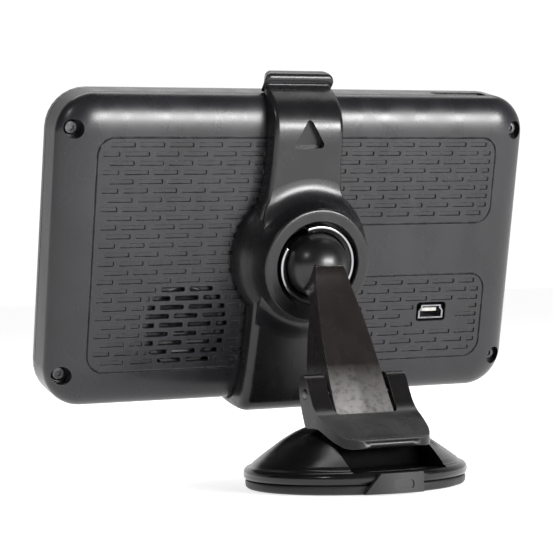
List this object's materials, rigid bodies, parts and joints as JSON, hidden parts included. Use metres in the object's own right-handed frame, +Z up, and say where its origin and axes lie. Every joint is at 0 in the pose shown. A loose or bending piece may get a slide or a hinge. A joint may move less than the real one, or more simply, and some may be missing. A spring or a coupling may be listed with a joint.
{
  "type": "portable gps navigator",
  "caption": "Portable satellite navigator clipped in a cradle, on a ball-jointed arm with a lever-operated suction cup base.",
  "frame": {"origin": "centre of the suction cup's foot, on the surface it grips", "axes": "+Z is up, away from the gripped surface; the screen looks to -Y and the lever's thumb paddle points to +Y; X runs along the device's width"},
  "size_m": [0.137, 0.0839, 0.1082],
  "materials": {
    "shell_grey": "fine satin texture",
    "bezel_black": "gloss",
    "panel_glass": "clear over black",
    "cradle_black": "satin",
    "seat_plastic": "satin",
    "ring_gloss": "gloss",
    "arm_black": "satin",
    "lever_black": "satin",
    "dome_black": "semi-gloss",
    "cup_rubber": "soft matte",
    "steel": "plated",
    "tray_metal": "plain",
    "board_green": "solder mask",
    "chip_black": "matt",
    "antenna_ceramic": "matt",
    "cell_wrap": "foil wrap",
    "ribbon_amber": "film",
    "gasket_foam": "foam",
    "display_grey": "clear"
  },
  "bodies": {
    "mount": {"mount_arm": "arm_black", "suction_stem": "seat_plastic", "lever_pin": "steel", "suction_cup": "cup_rubber"},
    "dome": {"base_dome": "dome_black"},
    "lever": {"suction_lever": "lever_black"},
    "swivel_seat": {"ball_seat_pad": "seat_plastic"},
    "tilt_ring": {"socket_spring_ring": "ring_gloss"},
    "power_key": {"power_button": "bezel_black"},
    "device": {"rear_shell": "shell_grey", "front_bezel": "bezel_black", "touch_panel": "panel_glass", "lcd_panel": "display_grey", "backlight_tray": "tray_metal", "main_board": "board_green", "battery_cell": "cell_wrap", "processor_chip": "chip_black", "memory_chip": "chip_black", "rf_shield_can": "steel", "antenna_patch": "antenna_ceramic", "display_ribbon": "ribbon_amber", "power_switch": "chip_black", "speaker_driver": "chip_black", "speaker_gasket": "gasket_foam", "usb_socket_shell": "steel", "usb_contact_tongue": "seat_plastic", "card_socket": "steel", "case_screw_1": "steel", "case_screw_2": "steel", "case_screw_3": "steel", "case_screw_4": "steel", "cradle_bracket": "cradle_black"}
  },
  "joints": [
    {"name": "lever_flip", "type": "hinge", "parent": "mount", "child": "lever", "pos_m": [0, 0.0016, 0.0237], "axis": [1, 0, 0], "range_deg": [0, 80]},
    {"name": "dome_slide", "type": "slide", "parent": "mount", "child": "dome", "axis": [0, 0, 1], "range_m": [0, 0.002]},
    {"name": "swivel", "type": "hinge", "parent": "mount", "child": "swivel_seat", "pos_m": [0, -0.0194, 0.0567], "axis": [0, 0, 1], "range_deg": [-25, 25]},
    {"name": "tilt", "type": "hinge", "parent": "swivel_seat", "child": "tilt_ring", "pos_m": [0, -0.0194, 0.0567], "axis": [1, 0, 0], "range_deg": [-20, 12]},
    {"name": "roll", "type": "hinge", "parent": "tilt_ring", "child": "device", "pos_m": [0, -0.0194, 0.0567], "axis": [0, 0.9703, -0.2419], "range_deg": [-10, 10]},
    {"name": "power_press", "type": "slide", "parent": "device", "child": "power_key", "axis": [0, -0.2419, -0.9703], "range_m": [0, 0.0005], "stiffness_N_per_m": 800, "springref_m": -0.0003}
  ],
  "couplings": [
    {"joint": "lever_flip", "follows": "dome_slide", "rad_per_m": 698}
  ]
}
